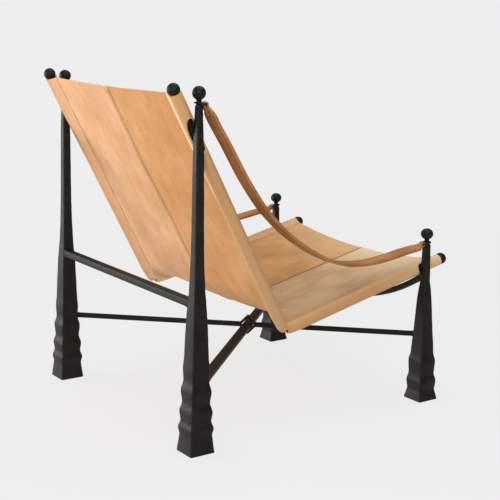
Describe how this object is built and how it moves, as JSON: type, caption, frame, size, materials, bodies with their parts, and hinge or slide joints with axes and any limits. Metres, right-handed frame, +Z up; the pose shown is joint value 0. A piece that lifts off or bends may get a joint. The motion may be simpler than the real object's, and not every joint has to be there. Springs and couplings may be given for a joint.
{
  "type": "lounge chair",
  "caption": "Lounge chair with a forged iron frame, ball finials, a leather sling for back and seat, and hanging leather arm straps.",
  "frame": {"origin": "on the floor, in the middle of the chair's footprint box", "axes": "+X to the sitter's left, -Y the way the sitter faces, +Z up"},
  "size_m": [0.726, 0.8576, 0.8464],
  "materials": {
    "blackened_iron": "hand-forged bar, hammered at the feet, oil-blackened and waxed to a dull sheen",
    "sling_leather": "vegetable-tanned saddle leather in natural tan, smooth side out, lightly mottled",
    "strap_leather": "harness leather folded double, darkened by handling, burnished edges"
  },
  "bodies": {
    "frame": {"post_rear_right": "blackened_iron", "post_front_right": "blackened_iron", "finial_rear_right": "blackened_iron", "finial_front_right": "blackened_iron", "side_rail_right": "blackened_iron", "rail_ball_top_right": "blackened_iron", "rail_ball_front_right": "blackened_iron", "saddle_rear_right": "blackened_iron", "saddle_front_right": "blackened_iron", "post_rear_left": "blackened_iron", "post_front_left": "blackened_iron", "finial_rear_left": "blackened_iron", "finial_front_left": "blackened_iron", "side_rail_left": "blackened_iron", "rail_ball_top_left": "blackened_iron", "rail_ball_front_left": "blackened_iron", "saddle_rear_left": "blackened_iron", "saddle_front_left": "blackened_iron", "sling_panel_right": "sling_leather", "sling_panel_left": "sling_leather", "rear_cross_bar": "blackened_iron", "square_diagonal": "blackened_iron", "flat_diagonal": "blackened_iron", "front_bow_bar": "blackened_iron"},
    "strap_right": {"arm_strap_right": "strap_leather", "strap_ring_rear_right": "blackened_iron", "strap_ring_front_right": "blackened_iron"},
    "strap_left": {"arm_strap_left": "strap_leather", "strap_ring_rear_left": "blackened_iron", "strap_ring_front_left": "blackened_iron"}
  },
  "joints": [
    {"name": "arm_strap_right_swing", "type": "hinge", "parent": "frame", "child": "strap_right", "pos_m": [-0.33, 0.3567, 0.8012], "axis": [0, -0.8761, -0.4821], "range_deg": [-20, 20]},
    {"name": "arm_strap_left_swing", "type": "hinge", "parent": "frame", "child": "strap_left", "pos_m": [0.33, 0.3567, 0.8012], "axis": [0, -0.8761, -0.4821], "range_deg": [-20, 20]}
  ]
}
